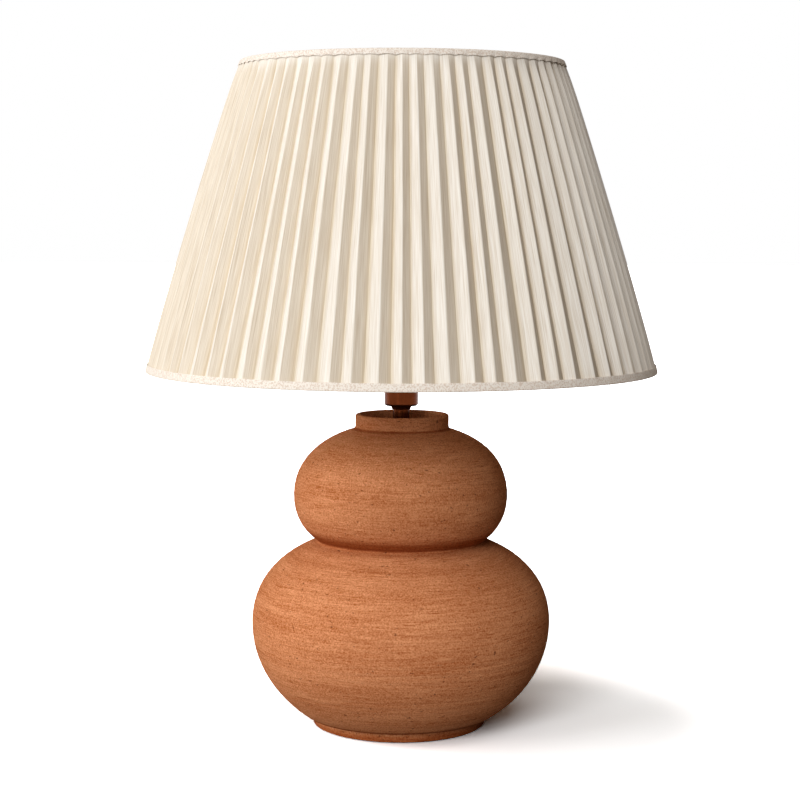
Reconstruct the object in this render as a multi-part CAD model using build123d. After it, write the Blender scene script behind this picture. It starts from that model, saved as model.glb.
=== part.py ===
from build123d import *
import math
import os

# A gourd table lamp: a hollow terracotta body of two thrown lobes, a metal stem and lamp socket on
# a hollow pipe, a tubular bulb, and a pleated cloth shade on a wire frame with a ring fitter.
# Millimetres, +Z up. The origin is the middle of the felt's underside, which stands on the table.
# -Y is the front of the lamp, and the cord inlet is at the back.

# Clearances shared by all pieces
seat_gap = 0.1
moving_gap = 0.3
cut_overrun = 5.0

# Gourd body
foot_d = 173.0
foot_height = 10.0
foot_edge_round = 0.8
foot_corner_round = 3.0
foot_lip_round = 5.0
lower_lobe_d = 299.0
lower_lobe_height = 103.4
lower_lobe_rise = 93.9
lower_lobe_drop = 119.6
lower_lobe_top_share = 0.628
lower_lobe_bottom_share = 0.563
upper_lobe_d = 213.9
upper_lobe_height = 231.2
upper_lobe_rise = 72.0
upper_lobe_drop = 64.2
upper_lobe_top_share = 0.614
upper_lobe_bottom_share = 0.651
waist_round = 2.5
neck_d = 93.4
neck_height = 312.0
neck_bore_d = 84.0
neck_rim_round = 2.4
neck_corner_round = 3.0
wall = 8.0
floor_thickness = 10.0
recess_d = 150.0
recess_depth = 12.0
pipe_hole_gap = 0.7
ledge_width = 6.0
ledge_depth = 14.5

# Felt under the foot
felt_thickness = 1.0
felt_inset = 3.0

# Cord grommet, square to the lower lobe's surface at the back
inlet_place_share = 0.31
grommet_bore_d = 7.4
grommet_wall = 1.4
grommet_flange_width = 2.6
grommet_flange_thickness = 1.6
grommet_length = 13.0

# Lamp pipe and what clamps it under the floor
pipe_d = 10.0
pipe_bore_d = 7.0
bottom_plate_d = 60.0
bottom_plate_thickness = 2.0
lock_washer_d = 19.0
lock_washer_thickness = 1.5
nut_across_flats = 17.0
nut_height = 5.0
pipe_below_nut = 1.0
pipe_in_cap = 6.0

# Neck plate, washer, stem and collar
neck_plate_thickness = 1.6
neck_washer_d = 26.0
neck_washer_thickness = 1.5
stem_d = 16.6
stem_bore_d = 11.0
stem_length = 16.2
collar_top_d = 20.6
collar_bottom_d = 18.4
collar_height = 3.5
set_screw_d = 2.2

# Socket
cap_d = 34.0
cap_wall = 0.6
cap_height = 19.7
cap_floor = 1.2
cap_edge_round = 2.6
cap_bush_d = 16.0
cap_bush_height = 5.0
shell_wall = 0.5
shell_above_cap_floor = 10.8
shell_length = 47.7
insulator_wall = 0.4
insulator_margin = 2.0
core_above_cap_floor = 14.8
core_height = 18.0
core_gap = 0.4
terminal_flat_depth = 3.2
terminal_flat_height = 9.0
terminal_head_d = 5.2
terminal_head_height = 1.8
terminal_shank_d = 2.8
terminal_shank_length = 6.0
screw_shell_wall = 0.5
screw_shell_height = 22.0
contact_d = 9.0
contact_thickness = 0.8
contact_dome_height = 0.6
sleeve_wall = 2.8
sleeve_height = 24.0
sleeve_above_shell = 1.0

# Turn switch
knob_above_cap = 9.5
shaft_d = 4.4
shaft_gap = 0.08
shaft_inner_end = 7.0
shaft_in_knob = 9.0
knob_d = 11.0
knob_length = 15.0
knob_stand_off = 2.0
knob_edge_round = 1.0
knob_flute_d = 1.8
knob_flute_count = 12

# Bulb
bulb_d = 30.0
bulb_length = 128.0
bulb_cap_d = 26.0
bulb_cap_height = 19.0
bulb_cap_edge_round = 1.5
bulb_tip_d = 9.5
bulb_tip_height = 2.2
bulb_insulator_height = 3.0
bulb_insulator_top_d = 21.0
bulb_housing_height = 14.0
bulb_housing_bottom_d = 27.0
bulb_shoulder_height = 3.0
bulb_wall = 1.2

# Shade rings on the sleeve
support_ring_above_sleeve = 3.5
support_ring_height = 5.5
support_ring_width = 5.8
clamp_ring_height = 8.0
clamp_ring_width = 6.0
clamp_bead_height = 2.0
grip_count = 24
grip_d = 1.6

# Fitter of the shade
fitter_width = 5.6
fitter_thickness = 3.0
arm_d = 4.0
arm_count = 3
arm_inner_run = 18.0
arm_slope_run = 22.0
arm_bend = 12.0
fitter_rise = 4.8

# Shade
shade_bottom_d = 508.0
shade_top_d = 321.6
shade_height = 303.6
tape_thickness = 0.9
bottom_tape_height = 7.6
top_tape_height = 5.6
tape_edge_round = 0.4
pleat_count = 72
pleat_depth_share = 0.030
pleat_sheet_share = 0.0035
ridge_flat_share = 0.10
valley_flat_share = 0.06
liner_thickness = 0.6
ring_wire_d = 4.0
rib_wire_d = 3.0
rib_count = 6

# Heights of the seats, from the table up
foot_z = felt_thickness
foot_top_z = foot_z + foot_height
lower_lobe_z = foot_z + lower_lobe_height
upper_lobe_z = foot_z + upper_lobe_height
neck_top_z = foot_z + neck_height
recess_z = foot_z + recess_depth
floor_z = recess_z + floor_thickness
ledge_z = neck_top_z - ledge_depth
plate_top_z = ledge_z + neck_plate_thickness
stem_z = plate_top_z + neck_washer_thickness
collar_z = stem_z + stem_length
cap_z = collar_z + collar_height
cap_floor_z = cap_z + cap_floor
cap_top_z = cap_z + cap_height
shell_z = cap_floor_z + shell_above_cap_floor
shell_top_z = shell_z + shell_length
core_z = cap_floor_z + core_above_cap_floor
core_top_z = core_z + core_height
contact_top_z = core_top_z + contact_thickness + contact_dome_height
sleeve_top_z = shell_top_z + sleeve_above_shell
sleeve_z = sleeve_top_z - sleeve_height
knob_z = cap_top_z + knob_above_cap
bulb_z = contact_top_z + moving_gap
support_ring_z = sleeve_z + support_ring_above_sleeve
fitter_z = support_ring_z + support_ring_height + moving_gap
clamp_ring_z = fitter_z + fitter_thickness + moving_gap
arm_inner_z = fitter_z + fitter_thickness / 2
arm_outer_z = arm_inner_z - fitter_rise
bottom_ring_z = arm_outer_z - arm_d / 2 - seat_gap - ring_wire_d / 2
shade_z = bottom_ring_z - ring_wire_d / 2 - seat_gap - tape_thickness
shade_top_z = shade_z + shade_height
cloth_z = shade_z + tape_thickness + seat_gap
cloth_top_z = shade_top_z - tape_thickness - seat_gap
top_ring_z = cloth_top_z - ring_wire_d / 2

# Radii of the pieces that fit inside each other
cap_bore_r = cap_d / 2 - cap_wall
shell_r = cap_bore_r - seat_gap
shell_bore_r = shell_r - shell_wall
insulator_r = shell_bore_r - seat_gap
core_r = insulator_r - insulator_wall - core_gap
screw_shell_bore_r = bulb_cap_d / 2 + moving_gap
sleeve_bore_r = shell_r + seat_gap
sleeve_r = sleeve_bore_r + sleeve_wall
ring_bore_r = sleeve_r + moving_gap
fitter_bore_r = ring_bore_r + moving_gap
fitter_r = fitter_bore_r + fitter_width
pipe_hole_r = pipe_d / 2 + pipe_hole_gap
grommet_r = grommet_bore_d / 2 + grommet_wall


def tube(outer_r, inner_r, z, height):
    """A round tube, washer or ring that stands on height z."""
    blank = Cylinder(outer_r, height) - Cylinder(inner_r, height + cut_overrun)
    return Pos(0, 0, z + height / 2) * blank


def turned(*edges):
    """A solid of revolution about the lamp's axis, from an outline of radii and heights."""
    return revolve(Plane.XZ * make_face(edges), Axis.Z)


def fluted(blank, radius, flute_d, count, height):
    """A round blank with upright flutes cut round its edge."""
    flute = Cylinder(flute_d / 2, height + cut_overrun)
    return blank - [Rot(0, 0, 360 * i / count) * Pos(radius, 0, 0) * flute for i in range(count)]


def lower_curve():
    """The lower lobe's outline from its widest ring down towards the foot."""
    r = lower_lobe_d / 2
    share = lower_lobe_bottom_share
    drop = lower_lobe_drop
    curve = Bezier((r, 0), (r, -share * drop), (share * r, -drop), (0, -drop))
    return Pos(0, lower_lobe_z) * curve


def lobe(radius, rise, drop, top_share, bottom_share, z):
    """Half of one thrown lobe's section, which bulges from the axis to its radius at height z."""
    top = Bezier((radius, 0), (radius, top_share * rise), (top_share * radius, rise), (0, rise))
    bottom = Bezier((radius, 0), (radius, -bottom_share * drop), (bottom_share * radius, -drop), (0, -drop))
    return Pos(0, z) * make_face([top, bottom, Line((0, rise), (0, -drop))])


def both_lobes(inset):
    """The section of the two lobes, drawn in by the given thickness of clay."""
    lower = lobe(
        lower_lobe_d / 2 - inset,
        lower_lobe_rise - inset,
        lower_lobe_drop - inset,
        lower_lobe_top_share,
        lower_lobe_bottom_share,
        lower_lobe_z,
    )
    upper = lobe(
        upper_lobe_d / 2 - inset,
        upper_lobe_rise - inset,
        upper_lobe_drop - inset,
        upper_lobe_top_share,
        upper_lobe_bottom_share,
        upper_lobe_z,
    )
    return lower + upper


def column(radius, z, top_z):
    """Half of a round column's section, from the axis out to its radius."""
    return Pos(radius / 2, (z + top_z) / 2) * Rectangle(radius, top_z - z)


def corner_near(section, radius, z):
    """The corner of a section that lies nearest to a radius and a height."""
    return section.vertices().sort_by_distance((radius, z, 0))[0]


def waist_corner(section):
    """The inner corner of a section between the two lobes."""
    between = [v for v in section.vertices() if lower_lobe_z < v.Y < upper_lobe_z and v.X > neck_d / 2]
    return sorted(between, key=lambda v: v.X)[0]


def lip_corner(section):
    """The outer corner of a section where the lower lobe ends over the foot."""
    level = [v for v in section.vertices() if abs(v.Y - foot_top_z) < seat_gap]
    return sorted(level, key=lambda v: v.X)[-1]


def grommet_plane():
    """The plane on the lobe's surface at the back, where the cord inlet stands square."""
    place = lower_curve() @ inlet_place_share
    along = lower_curve() % inlet_place_share
    return Plane(origin=(0, place.X, place.Y), x_dir=(1, 0, 0), z_dir=(0, -along.Y, along.X))


def gourd_body():
    trim = Pos(0, foot_top_z + neck_height / 2) * Rectangle(lower_lobe_d * 2, neck_height)
    outer = both_lobes(0) & trim
    outer += column(foot_d / 2, foot_z, foot_top_z)
    outer += column(neck_d / 2, upper_lobe_z, neck_top_z)
    outer = fillet(waist_corner(outer), waist_round)
    outer = fillet(lip_corner(outer), foot_lip_round)
    outer = fillet(corner_near(outer, foot_d / 2, foot_top_z), foot_corner_round)
    outer = fillet(corner_near(outer, foot_d / 2, foot_z), foot_edge_round)
    neck_root_z = upper_lobe_z + upper_lobe_rise
    outer = fillet(corner_near(outer, neck_d / 2, neck_root_z), neck_corner_round)
    outer = fillet(corner_near(outer, neck_d / 2, neck_top_z), neck_rim_round)
    hollow = both_lobes(wall)
    hollow &= Pos(0, floor_z + neck_height / 2) * Rectangle(lower_lobe_d * 2, neck_height)
    hollow += column(neck_bore_d / 2 - ledge_width, upper_lobe_z, ledge_z + cut_overrun)
    hollow += column(neck_bore_d / 2, ledge_z, neck_top_z + cut_overrun)
    hollow += column(recess_d / 2, foot_z - cut_overrun, recess_z)
    hollow += column(pipe_hole_r, foot_z, floor_z + cut_overrun)
    clay = outer - hollow
    clay = fillet(corner_near(clay, neck_bore_d / 2, neck_top_z), neck_rim_round / 2)
    body = revolve(Plane.XZ * clay, Axis.Z)
    drill = Cylinder(grommet_r + seat_gap, grommet_length + 2 * cut_overrun)
    return body - grommet_plane() * Pos(0, 0, -grommet_length / 2) * drill


def base_felt():
    radius = foot_d / 2 - felt_inset
    return Pos(0, 0, felt_thickness / 2) * Cylinder(radius, felt_thickness)


def cord_grommet():
    sleeve = Cylinder(grommet_r, grommet_length, align=(Align.CENTER, Align.CENTER, Align.MAX))
    flange_r = grommet_r + grommet_flange_width
    flange = Cylinder(flange_r, grommet_flange_thickness, align=(Align.CENTER, Align.CENTER, Align.MIN))
    flange = fillet(flange.edges().sort_by(Axis.Z)[-1], grommet_flange_thickness / 2)
    bore = Cylinder(grommet_bore_d / 2, 2 * grommet_length + cut_overrun)
    return grommet_plane() * (sleeve + flange - bore)


def bottom_plate():
    z = recess_z - bottom_plate_thickness
    return tube(bottom_plate_d / 2, pipe_d / 2 + seat_gap, z, bottom_plate_thickness)


def lock_washer():
    z = recess_z - bottom_plate_thickness - lock_washer_thickness
    return tube(lock_washer_d / 2, pipe_d / 2 + seat_gap, z, lock_washer_thickness)


def nut_top_z():
    return recess_z - bottom_plate_thickness - lock_washer_thickness


def pipe_nut():
    corner_r = nut_across_flats / 2 / math.cos(math.radians(30))
    blank = extrude(RegularPolygon(corner_r, 6), nut_height)
    bore = Cylinder(pipe_d / 2 + seat_gap, 2 * nut_height + cut_overrun)
    return Pos(0, 0, nut_top_z() - nut_height) * (blank - bore)


def lamp_pipe():
    z = nut_top_z() - nut_height - pipe_below_nut
    return tube(pipe_d / 2, pipe_bore_d / 2, z, cap_z + pipe_in_cap - z)


def neck_plate():
    outer_r = neck_bore_d / 2 - seat_gap
    return tube(outer_r, pipe_d / 2 + seat_gap, ledge_z, neck_plate_thickness)


def neck_washer():
    washer = tube(neck_washer_d / 2, pipe_d / 2 + seat_gap, plate_top_z, neck_washer_thickness)
    rim = washer.edges().filter_by(GeomType.CIRCLE).sort_by(SortBy.RADIUS)[-2:]
    return fillet(rim.sort_by(Axis.Z)[-1], neck_washer_thickness / 2)


def stem_tube():
    return tube(stem_d / 2, stem_bore_d / 2, stem_z, stem_length)


def set_screw_place():
    return Pos(0, 0, collar_z + collar_height / 2) * Rot(-90, 0, 0)


def stem_collar():
    cone = Cone(collar_bottom_d / 2, collar_top_d / 2, collar_height)
    bore = Cylinder(pipe_d / 2 + seat_gap, collar_height + cut_overrun)
    collar = Pos(0, 0, collar_z + collar_height / 2) * (cone - bore)
    drill = Cylinder(set_screw_d / 2 + seat_gap, collar_top_d, align=(Align.CENTER, Align.CENTER, Align.MIN))
    return collar - set_screw_place() * drill


def set_screw():
    length = (collar_bottom_d - pipe_d) / 2 - seat_gap
    screw = Cylinder(set_screw_d / 2, length, align=(Align.CENTER, Align.CENTER, Align.MIN))
    return set_screw_place() * Pos(0, 0, pipe_d / 2 + seat_gap) * screw


def socket_cap():
    cup = Pos(0, 0, cap_z + cap_height / 2) * Cylinder(cap_d / 2, cap_height)
    cup = fillet(cup.edges().sort_by(Axis.Z)[0], cap_edge_round)
    bowl = Cylinder(cap_bore_r, cap_height, align=(Align.CENTER, Align.CENTER, Align.MIN))
    bowl_round = min(cap_edge_round - cap_wall, cap_height / 4)
    bowl = fillet(bowl.edges().sort_by(Axis.Z)[0], bowl_round)
    cup -= Pos(0, 0, cap_floor_z) * bowl
    cup += Pos(0, 0, cap_floor_z + cap_bush_height / 2) * Cylinder(cap_bush_d / 2, cap_bush_height)
    return cup - Pos(0, 0, cap_z) * Cylinder(pipe_d / 2 + seat_gap, 2 * cap_height)


def shaft_drill(radius):
    """A drill along the switch's axis, from its inner end out through the front."""
    drill = Cylinder(radius, cap_d, align=(Align.CENTER, Align.CENTER, Align.MIN))
    return Pos(0, -shaft_inner_end + moving_gap, knob_z) * Rot(90, 0, 0) * drill


def socket_shell():
    shell = tube(shell_r, shell_bore_r, shell_z, shell_length)
    return shell - shaft_drill(shaft_d / 2 + moving_gap)


def socket_insulator():
    length = shell_length - 2 * insulator_margin
    sleeve = tube(insulator_r, insulator_r - insulator_wall, shell_z + insulator_margin, length)
    return sleeve - shaft_drill(shaft_d / 2 + moving_gap)


def terminal_places():
    """The two terminal screws' places, on flats at the core's right and left."""
    z = core_z + terminal_flat_height / 2
    x = core_r - terminal_flat_depth
    return [Rot(0, 0, turn) * Pos(x, 0, z) * Rot(0, 90, 0) for turn in (0, 180)]


def socket_core():
    core = Pos(0, 0, core_z + core_height / 2) * Cylinder(core_r, core_height)
    flat = Box(terminal_flat_height, 2 * core_r, 2 * terminal_flat_depth)
    hole = Cylinder(terminal_shank_d / 2 + seat_gap, 2 * (terminal_shank_length + seat_gap))
    for place in terminal_places():
        core -= place * Pos(0, 0, terminal_flat_depth) * flat
        core -= place * hole
    return core - shaft_drill(shaft_d / 2 + shaft_gap)


def terminal_screws():
    head = Cylinder(terminal_head_d / 2, terminal_head_height, align=(Align.CENTER, Align.CENTER, Align.MIN))
    head = fillet(head.edges().sort_by(Axis.Z)[-1], terminal_head_height / 3)
    shank = Cylinder(terminal_shank_d / 2, terminal_shank_length, align=(Align.CENTER, Align.CENTER, Align.MAX))
    return Compound(children=[place * (head + shank) for place in terminal_places()])


def screw_shell():
    outer_r = screw_shell_bore_r + screw_shell_wall
    return tube(outer_r, screw_shell_bore_r, core_top_z, screw_shell_height)


def centre_contact():
    leaf = Pos(0, 0, core_top_z + contact_thickness / 2) * Cylinder(contact_d / 2, contact_thickness)
    dome = Cylinder(contact_d / 4, contact_dome_height, align=(Align.CENTER, Align.CENTER, Align.MIN))
    dome = fillet(dome.edges().sort_by(Axis.Z)[-1], contact_dome_height / 2)
    return leaf + Pos(0, 0, core_top_z + contact_thickness) * dome


def thread_sleeve():
    sleeve = tube(sleeve_r, sleeve_bore_r, sleeve_z, sleeve_height)
    rims = sleeve.edges().filter_by(GeomType.CIRCLE).group_by(Axis.Z)
    return chamfer(rims[-1] + rims[0], sleeve_wall / 5)


def switch_shaft():
    length = cap_d / 2 + knob_stand_off + shaft_in_knob - shaft_inner_end
    shaft = Cylinder(shaft_d / 2, length, align=(Align.CENTER, Align.CENTER, Align.MIN))
    return Pos(0, -shaft_inner_end, knob_z) * Rot(90, 0, 0) * shaft


def switch_knob():
    knob = Cylinder(knob_d / 2, knob_length, align=(Align.CENTER, Align.CENTER, Align.MIN))
    knob = fillet(knob.edges().filter_by(GeomType.CIRCLE), knob_edge_round)
    knob = fluted(knob, knob_d / 2, knob_flute_d, knob_flute_count, 2 * knob_length)
    knob -= Cylinder(shaft_d / 2 + seat_gap, 2 * (shaft_in_knob + seat_gap))
    return Pos(0, -cap_d / 2 - knob_stand_off, knob_z) * Rot(90, 0, 0) * knob


def support_ring():
    ring = Cylinder(ring_bore_r + support_ring_width, support_ring_height)
    ring = chamfer(ring.edges().filter_by(GeomType.CIRCLE), support_ring_width / 6)
    ring = fluted(ring, ring_bore_r + support_ring_width, grip_d, grip_count, support_ring_height)
    ring -= Cylinder(ring_bore_r, support_ring_height + cut_overrun)
    return Pos(0, 0, support_ring_z + support_ring_height / 2) * ring


def clamp_ring():
    bead_r = ring_bore_r + clamp_ring_width
    grip_r = ring_bore_r + clamp_ring_width * 2 / 3
    bead = Cylinder(bead_r, clamp_bead_height, align=(Align.CENTER, Align.CENTER, Align.MIN))
    bead = fillet(bead.edges().filter_by(GeomType.CIRCLE), clamp_bead_height / 3)
    grip = Cylinder(grip_r, clamp_ring_height, align=(Align.CENTER, Align.CENTER, Align.MIN))
    grip = chamfer(grip.edges().sort_by(Axis.Z)[-1], clamp_ring_width / 6)
    grip = fluted(grip, grip_r, grip_d, grip_count, 2 * clamp_ring_height)
    ring = bead + grip - Cylinder(ring_bore_r, 2 * clamp_ring_height + cut_overrun)
    return Pos(0, 0, clamp_ring_z) * ring


def bulb_tip():
    tip = Cylinder(bulb_tip_d / 2, bulb_tip_height, align=(Align.CENTER, Align.CENTER, Align.MIN))
    tip = fillet(tip.edges().sort_by(Axis.Z)[0], bulb_tip_height / 2)
    return Pos(0, 0, bulb_z) * tip


def bulb_insulator_z():
    return bulb_z + bulb_tip_height + moving_gap


def bulb_cap_z():
    return bulb_insulator_z() + bulb_insulator_height


def bulb_insulator():
    cone = Cone(bulb_tip_d / 2, bulb_insulator_top_d / 2, bulb_insulator_height)
    return Pos(0, 0, bulb_insulator_z() + bulb_insulator_height / 2) * cone


def bulb_screw_cap():
    cap = Cylinder(bulb_cap_d / 2, bulb_cap_height, align=(Align.CENTER, Align.CENTER, Align.MIN))
    cap = fillet(cap.edges().sort_by(Axis.Z)[0], bulb_cap_edge_round)
    return Pos(0, 0, bulb_cap_z()) * cap


def bulb_housing_z():
    return bulb_cap_z() + bulb_cap_height


def bulb_housing():
    low_r = bulb_housing_bottom_d / 2
    top_r = bulb_d / 2
    z = bulb_housing_z()
    shoulder_z = z + bulb_shoulder_height
    top_z = z + bulb_housing_height
    bend = Bezier((low_r, shoulder_z), (low_r, (shoulder_z + top_z) / 2), (top_r, shoulder_z), (top_r, top_z))
    outline = Polyline((top_r, top_z), (0, top_z), (0, z), (low_r, z), (low_r, shoulder_z))
    return turned(bend, outline)


def bulb_diffuser():
    z = bulb_housing_z() + bulb_housing_height
    length = bulb_z + bulb_length - z
    tube_blank = Cylinder(bulb_d / 2, length, align=(Align.CENTER, Align.CENTER, Align.MIN))
    tube_blank = fillet(tube_blank.edges().sort_by(Axis.Z)[-1], bulb_d / 2 - bulb_wall)
    bore_r = bulb_d / 2 - bulb_wall
    bore = Cylinder(bore_r, length - bulb_wall, align=(Align.CENTER, Align.CENTER, Align.MIN))
    bore = fillet(bore.edges().sort_by(Axis.Z)[-1], bore_r - bulb_wall)
    return Pos(0, 0, z) * (tube_blank - bore)


def fitter_ring():
    return tube(fitter_r, fitter_bore_r, fitter_z, fitter_thickness)


def fitter_arms():
    """Bent wires that run from the fitter ring out to the top of the bottom ring."""
    start = (fitter_r + seat_gap, arm_inner_z)
    level = (start[0] + arm_inner_run, arm_inner_z)
    low = (level[0] + arm_slope_run, arm_outer_z)
    end = (bottom_ring_r(), arm_outer_z)
    path = Plane.XZ * FilletPolyline(start, level, low, end, radius=arm_bend)
    arm = sweep(Plane(origin=path @ 0, z_dir=path % 0) * Circle(arm_d / 2), path)
    turns = [90 + 360 * i / arm_count for i in range(arm_count)]
    return Compound(children=[Rot(0, 0, turn) * arm for turn in turns])


def side_r(z):
    """The shade's outer radius at height z, over the tapes."""
    slope = (shade_bottom_d - shade_top_d) / 2 / shade_height
    return shade_bottom_d / 2 - slope * (z - shade_z)


def ridge_r(z):
    """The radius of the pleats' ridges at height z."""
    return side_r(z) - tape_thickness - seat_gap


def liner_r(z):
    """The liner's outer radius at height z, just inside the pleats' valleys."""
    valley_share = 1 - pleat_depth_share - pleat_sheet_share
    return ridge_r(z) * valley_share - seat_gap


def bottom_ring_r():
    return liner_r(bottom_ring_z) - liner_thickness - seat_gap - ring_wire_d / 2


def top_ring_r():
    return liner_r(top_ring_z) - liner_thickness - seat_gap - ring_wire_d / 2


def wire_ring(radius, z):
    return Pos(0, 0, z) * Torus(radius, ring_wire_d / 2)


def bottom_ring():
    return wire_ring(bottom_ring_r(), bottom_ring_z)


def top_ring():
    return wire_ring(top_ring_r(), top_ring_z)


def frame_ribs():
    """Straight wires between the two rings, coped where they meet them."""
    foot = Vector(bottom_ring_r(), 0, bottom_ring_z)
    head = Vector(top_ring_r(), 0, top_ring_z)
    path = Line(foot, head)
    rib = sweep(Plane(origin=foot, z_dir=head - foot) * Circle(rib_wire_d / 2), path)
    rib -= Pos(0, 0, bottom_ring_z) * Torus(bottom_ring_r(), ring_wire_d / 2 + seat_gap)
    rib -= Pos(0, 0, top_ring_z) * Torus(top_ring_r(), ring_wire_d / 2 + seat_gap)
    turns = [360 * i / rib_count for i in range(rib_count)]
    return Compound(children=[Rot(0, 0, turn) * rib for turn in turns])


def shade_liner():
    outline = Polyline(
        (liner_r(cloth_z), cloth_z),
        (liner_r(cloth_top_z), cloth_top_z),
        (liner_r(cloth_top_z) - liner_thickness, cloth_top_z),
        (liner_r(cloth_z) - liner_thickness, cloth_z),
        close=True,
    )
    return turned(outline)


def pleat_outline(radius, z):
    """One ring of pleats as a closed outline of flat ridges, flat valleys and the faces between."""
    pitch = 2 * math.pi / pleat_count
    valley = radius * (1 - pleat_depth_share)
    corners = []
    for i in range(pleat_count):
        ridge_half = pitch * ridge_flat_share / 2
        valley_half = pitch * valley_flat_share / 2
        corners.append((radius, i * pitch - ridge_half))
        corners.append((radius, i * pitch + ridge_half))
        corners.append((valley, (i + 1 / 2) * pitch - valley_half))
        corners.append((valley, (i + 1 / 2) * pitch + valley_half))
    points = [(r * math.cos(a), r * math.sin(a)) for r, a in corners]
    return Pos(0, 0, z) * make_face(Polyline(*points, close=True))


def pleated_block(inset_share):
    """The solid within one side of the pleated cloth, which narrows towards the top."""
    low = ridge_r(cloth_z) * (1 - inset_share)
    high = ridge_r(cloth_top_z) * (1 - inset_share)
    return loft([pleat_outline(low, cloth_z), pleat_outline(high, cloth_top_z)], ruled=True)


def pleated_cover():
    return pleated_block(0) - pleated_block(pleat_sheet_share)


def tape(z, height, ring_radius, ring_z):
    """A turned-over tape that holds the cloth's edge and the ring's wire, from its edge at height z."""
    way = math.copysign(1, height)
    inner_r = ring_radius - ring_wire_d / 2 - seat_gap - tape_thickness
    floor_top = z + way * tape_thickness
    leg_top = ring_z
    outline = Polyline(
        (side_r(z), z),
        (side_r(z + height), z + height),
        (side_r(z + height) - tape_thickness, z + height),
        (side_r(floor_top) - tape_thickness, floor_top),
        (inner_r + tape_thickness, floor_top),
        (inner_r + tape_thickness, leg_top),
        (inner_r, leg_top),
        (inner_r, z),
        close=True,
    )
    section = make_face(outline)
    edge = [corner_near(section, side_r(z), z), corner_near(section, inner_r, z)]
    return revolve(Plane.XZ * fillet(edge, tape_edge_round), Axis.Z)


def bottom_binding():
    return tape(shade_z, bottom_tape_height, bottom_ring_r(), bottom_ring_z)


def top_binding():
    return tape(shade_top_z, -top_tape_height, top_ring_r(), top_ring_z)


pieces = [
    gourd_body,
    base_felt,
    cord_grommet,
    bottom_plate,
    lock_washer,
    pipe_nut,
    lamp_pipe,
    neck_plate,
    neck_washer,
    stem_tube,
    stem_collar,
    set_screw,
    socket_cap,
    socket_shell,
    socket_insulator,
    socket_core,
    terminal_screws,
    screw_shell,
    centre_contact,
    thread_sleeve,
    switch_shaft,
    switch_knob,
    support_ring,
    clamp_ring,
    bulb_tip,
    bulb_insulator,
    bulb_screw_cap,
    bulb_housing,
    bulb_diffuser,
    fitter_ring,
    fitter_arms,
    bottom_ring,
    top_ring,
    frame_ribs,
    shade_liner,
    pleated_cover,
    bottom_binding,
    top_binding,
]

os.makedirs("parts", exist_ok=True)
for piece in pieces:
    export_step(piece(), f"parts/{piece.__name__}.step")
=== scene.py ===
"""The looks of a gourd table lamp.

A thrown terracotta gourd carries a bronze stem and socket, a frosted bulb and a pleated linen shade.
Every length is in metres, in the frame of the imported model: +Z up, -Y the front of the lamp.
"""

import logging
import math
from dataclasses import dataclass, field
from enum import Enum
from typing import Any, Mapping, Sequence, Union

import bpy
import numpy as np
from mathutils import Matrix, Vector


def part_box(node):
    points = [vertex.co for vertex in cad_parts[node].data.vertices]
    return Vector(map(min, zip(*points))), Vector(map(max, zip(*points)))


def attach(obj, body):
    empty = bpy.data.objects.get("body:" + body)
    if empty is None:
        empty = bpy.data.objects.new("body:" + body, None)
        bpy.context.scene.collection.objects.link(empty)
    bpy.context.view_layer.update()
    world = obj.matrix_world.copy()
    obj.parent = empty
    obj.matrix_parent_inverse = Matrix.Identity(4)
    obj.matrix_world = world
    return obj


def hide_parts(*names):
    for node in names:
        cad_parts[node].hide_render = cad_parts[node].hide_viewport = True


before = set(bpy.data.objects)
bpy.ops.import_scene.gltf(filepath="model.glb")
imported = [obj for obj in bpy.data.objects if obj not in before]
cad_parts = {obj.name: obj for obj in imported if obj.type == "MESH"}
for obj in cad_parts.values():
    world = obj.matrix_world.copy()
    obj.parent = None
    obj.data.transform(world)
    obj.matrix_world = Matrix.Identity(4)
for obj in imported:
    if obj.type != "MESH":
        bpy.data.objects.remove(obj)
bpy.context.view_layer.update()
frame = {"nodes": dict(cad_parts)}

log = logging.getLogger("lamp")

Colour = tuple[float, float, float, float]
Line = np.ndarray
Grid = np.ndarray


class Wrap(Enum):
    """Which ways the last row or column of a grid joins the first one."""

    COLUMNS = "columns"
    BOTH = "both"


class Held(Enum):
    """How a sheet of cloth is held on the lamp."""

    FOLDED = "folded"
    STRETCHED = "stretched"
    LAID = "laid"


# Shader boards


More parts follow.
